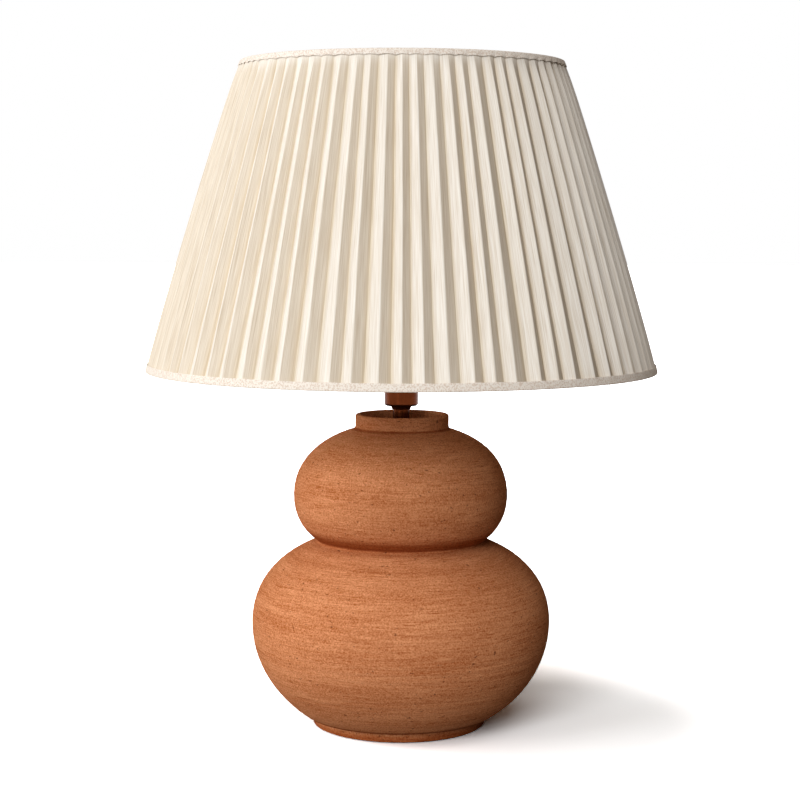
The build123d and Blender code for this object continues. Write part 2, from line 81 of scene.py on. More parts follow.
@dataclass(frozen=True)
class Wire:
    """A node's output socket, with the sums that a material needs as Python operators."""

    board: "Board"
    socket: bpy.types.NodeSocket

    def _math(self, operation: str, *terms: "Term", clamp: bool = False) -> "Wire":
        """A Math node on the given terms."""
        return self.board.add("ShaderNodeMath", {"operation": operation, "use_clamp": clamp}, dict(enumerate(terms)))

    def __add__(self, other: "Term") -> "Wire":
        """The sum with another value."""
        return self._math("ADD", self, other)

    __radd__ = __add__

    def __sub__(self, other: "Term") -> "Wire":
        """The difference from another value."""
        return self._math("SUBTRACT", self, other)

    def __rsub__(self, other: float) -> "Wire":
        """A number less this value."""
        return self._math("SUBTRACT", other, self)

    def __mul__(self, other: "Term") -> "Wire":
        """The product with another value."""
        return self._math("MULTIPLY", self, other)

    __rmul__ = __mul__

    def __truediv__(self, other: "Term") -> "Wire":
        """The quotient by another value."""
        return self._math("DIVIDE", self, other)

    def __rtruediv__(self, other: float) -> "Wire":
        """A number over this value."""
        return self._math("DIVIDE", other, self)

    def root(self) -> "Wire":
        """The square root."""
        return self._math("SQRT", self)

    def size(self) -> "Wire":
        """The value without its sign."""
        return self._math("ABSOLUTE", self)

    def sine(self) -> "Wire":
        """The sine of an angle in radians."""
        return self._math("SINE", self)

    def held(self) -> "Wire":
        """The value kept between 0 and 1."""
        return self._math("ADD", self, 0.0, clamp=True)

    def rise(self, low: float, high: float) -> "Wire":
        """A soft step from 0 at low to 1 at high.

        Args:
            low: the value where the step begins.
            high: the value where it ends, which may lie below low for a falling step.

        Returns:
            The step as a value from 0 to 1.
        """
        first, last = sorted((low, high))
        way = {"interpolation_type": "SMOOTHSTEP"}
        step = self.board.add("ShaderNodeMapRange", way, {"Value": self, 1: first, 2: last})
        return step if low < high else 1 - step


Term = Union[Wire, float]


@dataclass(frozen=True)
class Spot:
    """A point of the surface, with its round coordinates about the lamp's axis."""

    place: Wire
    x: Wire
    y: Wire
    z: Wire
    radius: Wire
    east: Wire
    north: Wire


class Board:
    """The node tree of a material or of the world."""

    def __init__(self, name: str, sky: bool = False) -> None:
        """Makes an empty tree.

        Args:
            name: the name of its material or world.
            sky: whether it is the world's.
        """
        self.owner = (bpy.data.worlds if sky else bpy.data.materials).new(name)
        self.owner.use_nodes = True
        self.tree = self.owner.node_tree
        self.tree.nodes.clear()

    def add(self, kind: str, settings: Mapping[str, Any], inputs: Mapping[Any, Any], output: Any = 0) -> Wire:
        """Adds one node.

        Args:
            kind: the node's type.
            settings: its own properties, set before any input.
            inputs: values or wires for its sockets, by name or number.
            output: the output's name or number.

        Returns:
            The wire of the chosen output.
        """
        node = self.tree.nodes.new(kind)
        for name, value in settings.items():
            setattr(node, name, value)
        for name, value in inputs.items():
            if isinstance(value, Wire):
                self.tree.links.new(value.socket, node.inputs[name])
            else:
                node.inputs[name].default_value = value
        return Wire(self, node.outputs[output] if node.outputs else None)

    def spot(self) -> Spot:
        """The surface point in the lamp's coordinates.

        Returns:
            Its place, its distance from the axis, and its direction as the parts of a unit vector.
        """
        place = self.add("ShaderNodeTexCoord", {}, {}, "Object")
        x, y, z = (self.add("ShaderNodeSeparateXYZ", {}, {0: place}, way) for way in "XYZ")
        radius = (x * x + y * y + 1e-10).root()
        return Spot(place, x, y, z, radius, x / radius, y / radius)

    def vector(self, x: Term, y: Term, z: Term) -> Wire:
        """A vector from its three parts."""
        return self.add("ShaderNodeCombineXYZ", {}, {0: x, 1: y, 2: z})

    def noise(self, place: Wire, scale: float, detail: float, fourth: Term | None = None) -> Wire:
        """Smooth noise from 0 to 1.

        Args:
            place: where the noise is read.
            scale: how many features there are in a unit.
            detail: how many finer octaves are added.
            fourth: a fourth coordinate, where three don't hold the pattern.

        Returns:
            The noise as a value.
        """
        inputs = {"Vector": place, "Scale": scale, "Detail": detail}
        if fourth is None:
            return self.add("ShaderNodeTexNoise", {}, inputs)
        return self.add("ShaderNodeTexNoise", {"noise_dimensions": "4D"}, {**inputs, "W": fourth})

    def round_noise(self, at: Spot, across: float, up: float, detail: float, fourth: Term | None = None) -> Wire:
        """Smooth noise with its own spacings round the lamp and up it.

        Args:
            at: the surface point.
            across: how many features there are in a radian.
            up: how many there are in a metre of height.
            detail: how many finer octaves are added.
            fourth: a fourth coordinate, where three don't hold the pattern.

        Returns:
            The noise as a value.
        """
        place = self.vector(at.east * across, at.north * across, at.z * up)
        return self.noise(place, 1.0, detail, fourth)

    def blend(self, factor: Term, first: Any, second: Any, way: str = "MIX") -> Wire:
        """A mix of two colours.

        Args:
            factor: the second colour's share.
            first: the colour at 0.
            second: the colour at 1.
            way: the kind of mix.

        Returns:
            The mixed colour.
        """
        settings = {"data_type": "RGBA", "blend_type": way, "clamp_factor": True}
        return self.add("ShaderNodeMix", settings, {0: factor, 6: first, 7: second}, 2)

    def bump(self, height: Wire, depth: float, strength: float) -> Wire:
        """A bumped normal.

        Args:
            height: the relief, from 0 to 1.
            depth: what 1 stands for in metres.
            strength: how much of it shows.

        Returns:
            The normal.
        """
        return self.add("ShaderNodeBump", {}, {"Height": height, "Distance": depth, "Strength": strength})

    def finish(self, **inputs: Any) -> bpy.types.Material:
        """Closes the tree with a surface shader.

        Args:
            inputs: the shader's inputs, with underscores for the blanks in their names.

        Returns:
            The finished material.
        """
        named = {name.replace("_", " "): value for name, value in inputs.items()}
        surface = self.add("ShaderNodeBsdfPrincipled", {}, named)
        self.add("ShaderNodeOutputMaterial", {}, {"Surface": surface})
        return self.owner


def tone(red: float, green: float, blue: float) -> Colour:
    """An opaque colour from its linear parts."""
    return (red, green, blue, 1.0)


# Finishes


@dataclass(frozen=True)
class Terracotta:
    """Unglazed red clay, brushed with fine rings on the wheel and fired."""

    light: Colour = tone(0.79, 0.350, 0.166)
    dark: Colour = tone(0.36, 0.090, 0.021)
    pit: Colour = tone(0.15, 0.042, 0.014)
    # Painted shade: a dark colour and the heights of the bands where it darkens the clay in creases and under
    # overhangs.
    hollow_shade: Colour = tone(0.46, 0.27, 0.14)
    shaded_hollows: tuple[tuple[float, float], ...] = ((0.002, 0.0075), (0.0118, 0.003), (0.1915, 0.011), (0.2990, 0.002))
    hollow_shade_share: float = 0.85
    line_height: float = 0.0012
    grain_height: float = 0.0010
    dash_height: float = 0.0011
    band_height: float = 0.013
    dust_scale: float = 620.0
    pore_scale: float = 240.0
    relief_depth: float = 0.00042
    roughness: float = 0.84

    def material(self) -> bpy.types.Material:
        """Fine broken rings, grain, pale and dark scratches, small pits in the clay, and painted shade in the foot,
        the waist groove and at the neck's root.

        Returns:
            The clay's material.
        """
        board = Board("terracotta")
        at = board.spot()

        def ring(across: float, height: float, detail: float) -> Wire:
            """Noise drawn out round the lamp, so many features a radian and so high."""
            place = board.vector(at.east * across, at.north * across, at.z / height)
            return board.noise(place, 1.0, detail, at.radius / height)

        lines = ring(4.5, self.line_height, 2.0)
        grain = ring(110.0, self.grain_height, 2.0)
        dashes = ring(7.0, self.dash_height, 1.0)
        bands = ring(1.0, self.band_height, 2.0)
        patch = board.noise(at.place, 24.0, 3.0)
        dust = board.noise(at.place, self.dust_scale, 2.0)
        pore = board.noise(board.vector(at.x, at.y, at.z * 1.5), self.pore_scale, 1.0)
        pores = pore.rise(0.70, 0.76) * board.noise(at.place, 40.0, 1.0).rise(0.30, 0.55)
        dark_marks = dashes.rise(0.64, 0.72) * patch.rise(0.38, 0.58)
        pale_marks = (1 - dashes).rise(0.64, 0.72) * (1 - patch).rise(0.38, 0.58)
        worn = patch.rise(0.30, 0.70)
        shade = (lines - 0.5) * (0.75 + worn * 0.4) + (grain - 0.5) * 1.4 + (dust - 0.5) * 1.2
        shade = shade + (bands - 0.5) * 0.60 + (patch - 0.5) * 0.25 + 0.5
        clay = board.blend(shade.held(), self.dark, self.light)
        clay = board.blend(pale_marks * 0.65, clay, self.light)
        clay = board.blend(dark_marks * 0.80, clay, self.dark)
        clay = board.blend(pores * 0.80, clay, self.pit)
        # Painted shade: the clay is multiplied darker in bands round the foot, the foot's ledge, the waist groove and
        # the neck's root.
        for height, reach in self.shaded_hollows:
            hollow_shading = (at.z - height).size().rise(reach, reach * 0.1)
            clay = board.blend(hollow_shading * self.hollow_shade_share, clay, self.hollow_shade, "MULTIPLY")
        relief = lines * 0.35 + grain * 0.35 + dust * 0.2 + pale_marks * 0.2 - dark_marks * 0.3 - pores * 0.8
        normal = board.bump(relief, self.relief_depth, 0.9)
        rough = (self.roughness + (dust - 0.5) * 0.2).held()
        return board.finish(Base_Color=clay, Roughness=rough, Normal=normal, Specular_IOR_Level=0.0)


@dataclass(frozen=True)
class Linen:
    """Cream linen whose stronger threads run up the pleats."""

    light: Colour = tone(0.91, 0.87, 0.80)
    thread: Colour = tone(0.71, 0.63, 0.52)
    right_side_shade: Colour = tone(0.88, 0.832, 0.762)
    fold_shade: Colour = tone(0.90, 0.85, 0.76)
    threads_round: float = 260.0
    hairs_round: float = 460.0
    weft_pitch: float = 0.0009
    relief_depth: float = 0.00022
    ridge_radius: float = 0.2532
    slope: float = 0.307
    foot_z: float = 0.3569
    fold_share: float = 0.0235

    def material(self) -> bpy.types.Material:
        """Upright threads of uneven strength, slubs and a fine weave, with painted shade deep in the folds and on the
        right-facing side of each pleat.

        Returns:
            The cloth's material.
        """
        board = Board("linen")
        at = board.spot()
        warp = board.round_noise(at, self.threads_round, 12.0, 2.0)
        strand = board.round_noise(at, self.threads_round * 0.45, 5.0, 1.0)
        slub = board.round_noise(at, 150.0, 60.0, 1.0).rise(0.66, 0.80)
        hair = board.round_noise(at, self.hairs_round, 30.0, 1.0)
        weft = (at.z * 2 * math.pi / self.weft_pitch).sine() * 0.5 + 0.5
        ridge = self.ridge_radius - (at.z - self.foot_z) * self.slope
        depth = ((ridge - at.radius) / (ridge * self.fold_share)).held()
        pale = ((warp - 0.5) * 0.7 + (strand - 0.5) * 0.3 + (hair - 0.5) * 2.2 + 0.66).held()
        cloth = board.blend(pale, self.thread, self.light)
        cloth = board.blend(slub * 0.35, cloth, self.light)
        # Painted shade: the cloth is multiplied darker and warmer towards the bottom of each valley.
        cloth = board.blend(depth.rise(0.50, 1.0), cloth, self.fold_shade, "MULTIPLY")
        # Painted shade: faces of each pleat that turn to the right, away from the lamps on the left, are multiplied
        # darker and warmer.
        facing = board.add("ShaderNodeTexCoord", {}, {}, "Normal")
        rightwards = board.vector(0 - at.north, at.east, 0.0)
        right_facing = board.add("ShaderNodeVectorMath", {"operation": "DOT_PRODUCT"}, {0: facing, 1: rightwards}, 1)
        cloth = board.blend(right_facing.rise(0.06, 0.42), cloth, self.right_side_shade, "MULTIPLY")
        normal = board.bump(warp * 0.6 + slub * 0.5 + weft * 0.25, self.relief_depth, 0.7)
        return board.finish(Base_Color=cloth, Roughness=0.95, Normal=normal, Specular_IOR_Level=0.02)


@dataclass(frozen=True)
class Tape:
    """Woven binding tape in the shade's cream, with small slanting threads."""

    light: Colour = tone(0.89, 0.83, 0.75)
    speck: Colour = tone(0.74, 0.63, 0.53)
    twill_rise: float = 800.0

    def material(self) -> bpy.types.Material:
        """A close twill with scattered darker threads.

        Returns:
            The tape's material.
        """
        board = Board("tape")
        at = board.spot()
        twill = board.round_noise(at, 240.0, self.twill_rise, 1.0)
        fleck = board.noise(at.place, 620.0, 2.0)
        cloud = board.noise(at.place, 30.0, 2.0)
        mark = ((twill - 0.5) * 3.2 + (fleck - 0.5) * 6.5 + (cloud - 0.5) * 0.6 + 0.27).held()
        cloth = board.blend(mark, self.light, self.speck)
        normal = board.bump(twill * 0.6 + fleck * 0.6, 0.0003, 0.8)
        return board.finish(Base_Color=cloth, Roughness=0.95, Normal=normal, Specular_IOR_Level=0.02)


@dataclass(frozen=True)
class Lining:
    """Smooth off-white lining cloth with a faint weave."""

    light: Colour = tone(0.86, 0.83, 0.76)
    thread: Colour = tone(0.78, 0.73, 0.64)

    def material(self) -> bpy.types.Material:
        """A faint crossed weave.

        Returns:
            The lining's material.
        """
        board = Board("lining")
        at = board.spot()
        warp = board.round_noise(at, 330.0, 25.0, 2.0)
        weft = board.round_noise(at, 20.0, 1300.0, 2.0)
        cloth = board.blend((warp * 0.7 + weft * 0.6 - 0.25).held(), self.thread, self.light)
        normal = board.bump(warp + weft, 0.0001, 0.6)
        return board.finish(Base_Color=cloth, Roughness=0.88, Normal=normal, Specular_IOR_Level=0.2)


@dataclass(frozen=True)
class Felt:
    """Pressed brown wool felt."""

    wool: Colour = tone(0.105, 0.070, 0.048)
    fibre: Colour = tone(0.20, 0.15, 0.11)

    def material(self) -> bpy.types.Material:
        """Matted fibres in two tones.

        Returns:
            The felt's material.
        """
        board = Board("felt")
        at = board.spot()
        mat = board.noise(at.place, 420.0, 5.0)
        tuft = board.noise(at.place, 90.0, 3.0)
        wool = board.blend(((mat - 0.5) * 2.2 + (tuft - 0.5) + 0.4).held(), self.wool, self.fibre)
        normal = board.bump(mat, 0.0006, 0.9)
        return board.finish(Base_Color=wool, Roughness=0.97, Normal=normal, Specular_IOR_Level=0.1)


@dataclass(frozen=True)
class Metal:
    """A turned or drawn metal with its tone, its sheen and the marks of its making."""

    name: str
    light: Colour
    dark: Colour
    roughness: float
    brush: float
    stain: float
    metallic: float = 1.0
    specular: float = 0.5
    ring_spacing: float = 0.0005

    def material(self) -> bpy.types.Material:
        """Fine turning rings, soft stains and worn spots.

        Returns:
            The metal's material.
        """
        board = Board(self.name)
        at = board.spot()
        fine = 1 / self.ring_spacing
        ring = board.round_noise(at, 0.8, fine, 1.0, at.radius * fine)
        cloud = board.noise(at.place, 70.0, 4.0)
        speck = board.noise(at.place, 800.0, 2.0)
        stain = ((cloud - 0.5) * 2.4 * self.stain + (speck - 0.5) * 0.5 + (ring - 0.5) * self.brush + 0.5).held()
        colour = board.blend(stain, self.dark, self.light)
        rough = (self.roughness + (cloud - 0.5) * 0.22 + (ring - 0.5) * 0.14 * self.brush).held()
        normal = board.bump(ring * self.brush + speck * 0.3, 0.00004, 0.5)
        return board.finish(
            Base_Color=colour, Roughness=rough, Metallic=self.metallic, Normal=normal, Specular_IOR_Level=self.specular
        )


@dataclass(frozen=True)
class Moulded:
    """A moulded plastic, fibre or rubber with a fine skin."""

    name: str
    light: Colour
    dark: Colour
    roughness: float
    grain: float = 500.0
    relief: float = 0.00008

    def material(self) -> bpy.types.Material:
        """A faint mottle and the fine grain of a mould.

        Returns:
            The moulding's material.
        """
        board = Board(self.name)
        at = board.spot()
        mottle = board.noise(at.place, 60.0, 3.0)
        skin = board.noise(at.place, self.grain, 3.0)
        colour = board.blend(((mottle - 0.5) * 1.4 + (skin - 0.5) * 0.8 + 0.5).held(), self.dark, self.light)
        rough = (self.roughness + (mottle - 0.5) * 0.15 + (skin - 0.5) * 0.1).held()
        normal = board.bump(skin, self.relief, 0.6)
        return board.finish(Base_Color=colour, Roughness=rough, Normal=normal)


@dataclass(frozen=True)
class Frosted:
    """The bulb's milky diffuser, unlit."""

    light: Colour = tone(0.88, 0.88, 0.86)
    dark: Colour = tone(0.82, 0.82, 0.80)

    def material(self) -> bpy.types.Material:
        """Even milk-white with a satin skin.

        Returns:
            The diffuser's material.
        """
        board = Board("frosted")
        at = board.spot()
        haze = board.noise(at.place, 45.0, 3.0)
        skin = board.noise(at.place, 1500.0, 1.0)
        colour = board.blend(haze, self.dark, self.light)
        normal = board.bump(skin, 0.00003, 0.4)
        rough = (0.33 + (haze - 0.5) * 0.1).held()
        return board.finish(Base_Color=colour, Roughness=rough, Normal=normal, Coat_Weight=0.2, Coat_Roughness=0.25)


class Finishes:
    """Every material of the lamp, made once."""

    def __init__(self) -> None:
        """Makes the materials."""
        self.terracotta = Terracotta().material()
        self.linen = Linen().material()
        self.tape = Tape().material()
        self.lining = Lining().material()
        self.felt = Felt().material()
        self.frosted = Frosted().material()
        self.bronze = Metal(
            "bronze", tone(0.110, 0.027, 0.008), tone(0.060, 0.013, 0.004), 0.22, 0.3, 0.6, metallic=0.5, specular=0.0
        ).material()
        self.steel = Metal("steel", tone(0.58, 0.57, 0.55), tone(0.42, 0.41, 0.40), 0.34, 0.6, 0.5).material()
        self.brass = Metal("brass", tone(0.76, 0.56, 0.26), tone(0.58, 0.39, 0.15), 0.28, 0.5, 0.6).material()
        self.nickel = Metal("nickel", tone(0.74, 0.71, 0.66), tone(0.60, 0.57, 0.52), 0.24, 0.5, 0.4).material()
        self.wire = Moulded("white_wire", tone(0.80, 0.79, 0.76), tone(0.70, 0.69, 0.65), 0.42, 700.0).material()
        self.phenolic = Moulded("phenolic", tone(0.055, 0.030, 0.020), tone(0.030, 0.016, 0.011), 0.35).material()
        self.fibre = Moulded("fibre", tone(0.30, 0.21, 0.13), tone(0.22, 0.15, 0.09), 0.8, 900.0).material()
        self.rubber = Moulded("rubber", tone(0.060, 0.045, 0.038), tone(0.035, 0.027, 0.023), 0.6, 1100.0).material()
        self.plastic = Moulded("white_plastic", tone(0.84, 0.84, 0.82), tone(0.78, 0.78, 0.76), 0.38).material()


# Lines and meshes


def bezier(points: Sequence[tuple[float, float]], count: int = 240) -> Line:
    """A cubic curve as a line of points.

    Args:
        points: its four control points.
        count: how many points the line gets.

    Returns:
        The points, one in each row.
    """
    t = np.linspace(0, 1, count)[:, None]
    a, b, c, d = (np.array(point, float) for point in points)
    return (1 - t) ** 3 * a + 3 * (1 - t) ** 2 * t * b + 3 * (1 - t) * t**2 * c + t**3 * d


def straight(*points: tuple[float, float]) -> Line:
    """A line through the given points."""
    return np.array(points, float)


def lengths(line: Line) -> np.ndarray:
    """The way along a line from its start to each of its points."""
    return np.concatenate([[0.0], np.cumsum(np.linalg.norm(np.diff(line, axis=0), axis=1))])


def along(line: Line, places: np.ndarray) -> Line:
    """The points of a line at the given ways from its start."""
    run = lengths(line)
    return np.stack([np.interp(places, run, line[:, i]) for i in range(line.shape[1])], axis=1)


def meet(first: Line, second: Line, reach: float = 0.0) -> Line:
    """Joins two lines where they cross.

    Args:
        first: the line that is kept up to the crossing.
        second: the line that is kept from it on.
        reach: how far a rounding runs from the crossing along both.

    Returns:
        The joined line.
    """
    a, b = first[:-1, None], first[1:, None] - first[:-1, None]
    c, d = second[None, :-1], second[None, 1:] - second[None, :-1]
    cross = b[..., 0] * d[..., 1] - b[..., 1] * d[..., 0]
    cross = np.where(abs(cross) < 1e-18, 1e-18, cross)
    gap = c - a
    s = (gap[..., 0] * d[..., 1] - gap[..., 1] * d[..., 0]) / cross
    t = (gap[..., 0] * b[..., 1] - gap[..., 1] * b[..., 0]) / cross
    hits = np.argwhere((s >= 0) & (s <= 1) & (t >= 0) & (t <= 1))
    i, j = hits[0]
    point = first[i] + s[i, j] * (first[i + 1] - first[i])
    joined = np.concatenate([first[: i + 1], point[None], second[j + 1 :]])
    return eased(joined, point, reach) if reach else joined


def eased(line: Line, corner: Sequence[float], reach: float) -> Line:
    """Rounds the corner of a line.

    Args:
        line: the line.
        corner: a point near the corner.
        reach: how far the rounding runs along both sides.

    Returns:
        The line with a curve in the corner's place.
    """
    i = int(np.argmin(np.linalg.norm(line - np.array(corner), axis=1)))
    run = lengths(line)
    start, end = along(line, np.array([run[i] - reach, run[i] + reach]))
    t = np.linspace(0, 1, 9)[:, None]
    bend = (1 - t) ** 2 * start + 2 * (1 - t) * t * line[i] + t**2 * end
    return np.concatenate([line[run < run[i] - reach], bend, line[run > run[i] + reach]])


def respaced(line: Line, step: float, turn: float = math.radians(9)) -> Line:
    """Spaces a line's points by its length and its bends.

    Args:
        line: the line.
        step: the longest spacing.
        turn: the turn that gets a point of its own.

    Returns:
        The line with its new points.
    """
    edge = np.diff(line, axis=0)
    heading = np.unwrap(np.arctan2(edge[:, 1], edge[:, 0]))
    bend = np.concatenate([[0.0], abs(np.diff(heading)), [0.0]])
    effort = lengths(line) / step + np.cumsum(bend) / turn
    count = max(3, int(math.ceil(effort[-1])) + 1)
    even = np.linspace(0, effort[-1], count)
    return np.stack([np.interp(even, effort, line[:, i]) for i in range(2)], axis=1)


def normals(line: Line, closed: bool = False) -> Line:
    """Unit normals of a line, to the right of its way.

    Args:
        line: the line.
        closed: whether its end joins its start.

    Returns:
        One normal for each point.
    """
    if closed:
        tangent = np.roll(line, -1, axis=0) - np.roll(line, 1, axis=0)
    else:
        tangent = np.gradient(line, axis=0)
    tangent /= np.linalg.norm(tangent, axis=1)[:, None] + 1e-12
    return np.stack([tangent[:, 1], -tangent[:, 0]], axis=1)


def ribbon(path: Line, thickness: float) -> Line:
    """The closed outline of a ribbon with round edges.

    Args:
        path: the ribbon's middle line.
        thickness: its thickness.

    Returns:
        The outline, once round.
    """
    side = normals(path) * thickness / 2
    ends = []
    for middle, out in ((path[-1], side[-1]), (path[0], -side[0])):
        ahead = np.array([-out[1], out[0]])
        ends.append(np.array([middle + out * math.cos(a) + ahead * math.sin(a) for a in (0.8, math.pi / 2, 2.34)]))
    return np.concatenate([path + side, ends[0], (path - side)[::-1], ends[1]])


def ripple(values: np.ndarray, seed: int, waves: Sequence[float]) -> np.ndarray:
    """A smooth random wave of about unit height.

    Args:
        values: where it is read, one axis a row.
        seed: what makes this wave differ from the others.
        waves: the most turns per unit that each axis brings.

    Returns:
        The wave at each place.
    """
    rng = np.random.default_rng(seed)
    total = np.zeros(values.shape[1:])
    for _ in range(7):
        turns = [rng.uniform(-1, 1) * wave for wave in waves]
        phase = sum(turn * axis for turn, axis in zip(turns, values))
        total += np.sin(2 * math.pi * (phase + rng.uniform()))
    return total / 3.5


def moved(grid: Grid, out: np.ndarray, angle: np.ndarray) -> None:
    """Moves the points of a grid outwards from the lamp's axis.

    Args:
        grid: the points, which are changed in place.
        out: how far each one moves.
        angle: its direction about the axis.
    """
    grid[..., 0] += out * np.sin(angle)
    grid[..., 1] -= out * np.cos(angle)


def angles(columns: int) -> np.ndarray:
    """The angles of a grid's columns about the lamp's axis, as one row."""
    return np.arange(columns)[None] * 2 * math.pi / columns


def spun(outline: Line, columns: int) -> Grid:
    """Turns an outline of radii and heights about the lamp's axis.

    Args:
        outline: the outline.
        columns: how many columns go round.

    Returns:
        The grid of points, rows along the outline.
    """
    angle = angles(columns)
    r, z = outline[:, 0, None], outline[:, 1, None]
    return np.stack([r * np.sin(angle), -r * np.cos(angle), z + 0 * angle], axis=2)


@dataclass(frozen=True)
class Piece:
    """What a new piece is called, what it moves with and what it stands for."""

    name: str
    body: str
    slot: str
    stands_for: tuple[str, ...] = ()

    def hang(self, mesh: bpy.types.Mesh, material: bpy.types.Material) -> bpy.types.Object:
        """Hangs a mesh on the lamp under this name.

        Args:
            mesh: the piece's mesh.
            material: its finish.

        Returns:
            The new object.
        """
        mesh.materials.clear()
        mesh.materials.append(material)
        thing = bpy.data.objects.new(self.name, mesh)
        bpy.context.scene.collection.objects.link(thing)
        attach(thing, self.body)
        if self.stands_for:
            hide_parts(*self.stands_for)
        log.info("%s: %d faces", self.name, len(mesh.polygons))
        return thing

    def weave(
        self, grid: Grid, material: bpy.types.Material, wrap: Wrap = Wrap.BOTH, crease: float | None = None
    ) -> bpy.types.Object:
        """Makes the piece's mesh from a grid of points and hangs it on the lamp.

        Args:
            grid: rows and columns of points.
            material: its finish.
            wrap: which ways the grid closes.
            crease: the angle in degrees above which an edge stays sharp.

        Returns:
            The new object.
        """
        return self.hang(woven(self.name, grid, wrap, crease), material)


def woven(name: str, grid: Grid, wrap: Wrap = Wrap.BOTH, crease: float | None = None) -> bpy.types.Mesh:
    """A mesh from a grid of points.

    Args:
        name: the mesh's name.
        grid: rows and columns of points.
        wrap: which ways the grid closes.
        crease: the angle in degrees above which an edge stays sharp.

    Returns:
        The mesh, smoothly shaded.
    """
    rows, columns = grid.shape[:2]
    last = rows if wrap is Wrap.BOTH else rows - 1
    row = np.arange(last)[:, None]
    column = np.arange(columns)[None]
    above, beside = (row + 1) % rows, (column + 1) % columns
    corners = [row * columns + column, row * columns + beside, above * columns + beside, above * columns + column]
    faces = np.stack([corner + 0 * row + 0 * column for corner in corners], axis=2).reshape(-1, 4)
    mesh = bpy.data.meshes.new(name)
    mesh.from_pydata(grid.reshape(-1, 3).tolist(), [], faces.tolist())
    mesh.validate()
    mesh.shade_smooth()
    if crease is not None:
        mesh.set_sharp_from_angle(angle=math.radians(crease))
    return mesh


# Sub-assemblies


